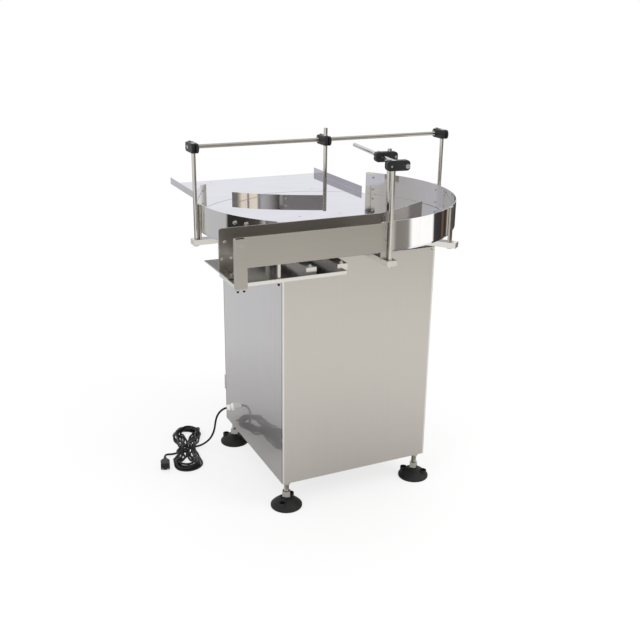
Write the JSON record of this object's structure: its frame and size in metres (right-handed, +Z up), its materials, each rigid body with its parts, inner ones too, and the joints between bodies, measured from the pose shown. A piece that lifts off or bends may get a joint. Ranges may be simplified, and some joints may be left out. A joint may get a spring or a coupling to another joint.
{
  "type": "rotary accumulation table",
  "caption": "Rotary accumulation table: a driven disc on a steel cabinet with rim walls, an infeed plate, an adjustable arc guide and a guided outlet lane, on levelling feet.",
  "frame": {"origin": "the disc's axis where it meets the floor", "axes": "+X right along the cabinet's front, +Y to the back, +Z up"},
  "size_m": [0.957, 1.134, 1.12],
  "materials": {
    "brushed_panel": "brushed",
    "polished_panel": "polished",
    "frame_steel": "welded tube",
    "mirror_steel": "mirror polished",
    "wall_steel": "bright rolled",
    "rod_steel": "ground bar",
    "arm_steel": "bright flat bar",
    "dark_strip": "bright rolled",
    "fastener": "bright",
    "nylon_black": "moulded",
    "foot_plastic": "moulded",
    "cast_grey": "die cast",
    "gland_white": "moulded",
    "cord_black": "extruded",
    "button_red": "moulded"
  },
  "bodies": {
    "cabinet": {"cabinet_frame": "frame_steel", "bottom_plate": "frame_steel", "mounting_plate": "frame_steel", "door_hinges": "frame_steel", "front_panel": "brushed_panel", "right_panel": "brushed_panel", "outer_guide": "brushed_panel", "lane_post": "brushed_panel", "left_panel": "polished_panel", "support_arms": "arm_steel", "standoffs": "arm_steel", "wall_posts": "arm_steel", "upright_rods": "rod_steel", "cross_rod": "rod_steel", "short_rod": "rod_steel", "left_clamp": "nylon_black", "right_clamp": "nylon_black", "front_clamp": "nylon_black", "control_bases": "nylon_black", "motor_fan_cover": "nylon_black", "rim_wall_left": "wall_steel", "rim_wall_right": "wall_steel", "outlet_tray": "mirror_steel", "dead_plate": "mirror_steel", "infeed_plate": "mirror_steel", "bearing_housing": "cast_grey", "worm_gearbox": "cast_grey", "drive_motor": "cast_grey", "speed_controller": "cast_grey", "frame_fasteners": "fastener", "cord_gland": "gland_white", "cord_lead": "cord_black", "cord_hank": "cord_black", "cord_tail": "cord_black", "mains_plug": "cord_black"},
    "turntable": {"turntable_disc": "mirror_steel", "hub_flange": "frame_steel", "main_shaft": "frame_steel"},
    "cross_carriage": {"middle_clamp": "nylon_black"},
    "arc_guide": {"arc_rod": "rod_steel", "arc_strip": "dark_strip", "arc_curve": "mirror_steel"},
    "lane_guide": {"lane_clamp": "nylon_black", "lane_rod": "rod_steel", "lane_strip": "dark_strip", "lane_extension": "dark_strip", "lane_bracket": "dark_strip"},
    "foot_fl": {"foot_base_fl": "foot_plastic", "foot_stud_fl": "fastener"},
    "foot_fr": {"foot_base_fr": "foot_plastic", "foot_stud_fr": "fastener"},
    "foot_bl": {"foot_base_bl": "foot_plastic", "foot_stud_bl": "fastener"},
    "foot_br": {"foot_base_br": "foot_plastic", "foot_stud_br": "fastener"},
    "door": {"rear_door": "brushed_panel"},
    "lock": {"door_lock": "frame_steel"},
    "stop": {"stop_button": "button_red"},
    "knob": {"speed_knob": "nylon_black"},
    "switch": {"power_switch": "nylon_black"}
  },
  "joints": [
    {"name": "turntable_spin", "type": "hinge", "parent": "cabinet", "child": "turntable", "pos_m": [0, 0, 0.845], "axis": [0, 0, 1], "continuous": true},
    {"name": "carriage_slide", "type": "slide", "parent": "cabinet", "child": "cross_carriage", "axis": [1, 0, 0], "range_m": [-0.09, 0.2]},
    {"name": "arc_height", "type": "slide", "parent": "cross_carriage", "child": "arc_guide", "axis": [0, 0, 1], "range_m": [-0.014, 0.11]},
    {"name": "lane_width", "type": "slide", "parent": "cabinet", "child": "lane_guide", "axis": [0.1305, 0.9914, 0], "range_m": [-0.04, 0]},
    {"name": "foot_fl_level", "type": "slide", "parent": "cabinet", "child": "foot_fl", "axis": [0, 0, 1], "range_m": [-0.02, 0.015]},
    {"name": "foot_fr_level", "type": "slide", "parent": "cabinet", "child": "foot_fr", "axis": [0, 0, 1], "range_m": [-0.02, 0.015]},
    {"name": "foot_bl_level", "type": "slide", "parent": "cabinet", "child": "foot_bl", "axis": [0, 0, 1], "range_m": [-0.02, 0.015]},
    {"name": "foot_br_level", "type": "slide", "parent": "cabinet", "child": "foot_br", "axis": [0, 0, 1], "range_m": [-0.02, 0.015]},
    {"name": "door_swing", "type": "hinge", "parent": "cabinet", "child": "door", "pos_m": [-0.246, 0.2613, 0.438], "axis": [0, 0, 1], "range_deg": [0, 110]},
    {"name": "lock_turn", "type": "hinge", "parent": "door", "child": "lock", "pos_m": [0.1925, 0.2553, 0.438], "axis": [0, 1, 0], "range_deg": [0, 90]},
    {"name": "stop_press", "type": "slide", "parent": "cabinet", "child": "stop", "axis": [1, 0, 0], "range_m": [-0.005, 0]},
    {"name": "speed_turn", "type": "hinge", "parent": "cabinet", "child": "knob", "pos_m": [0.25, -0.06, 0.658], "axis": [1, 0, 0], "range_deg": [0, 270]},
    {"name": "switch_turn", "type": "hinge", "parent": "cabinet", "child": "switch", "pos_m": [0.25, 0, 0.658], "axis": [1, 0, 0], "range_deg": [0, 90]}
  ]
}
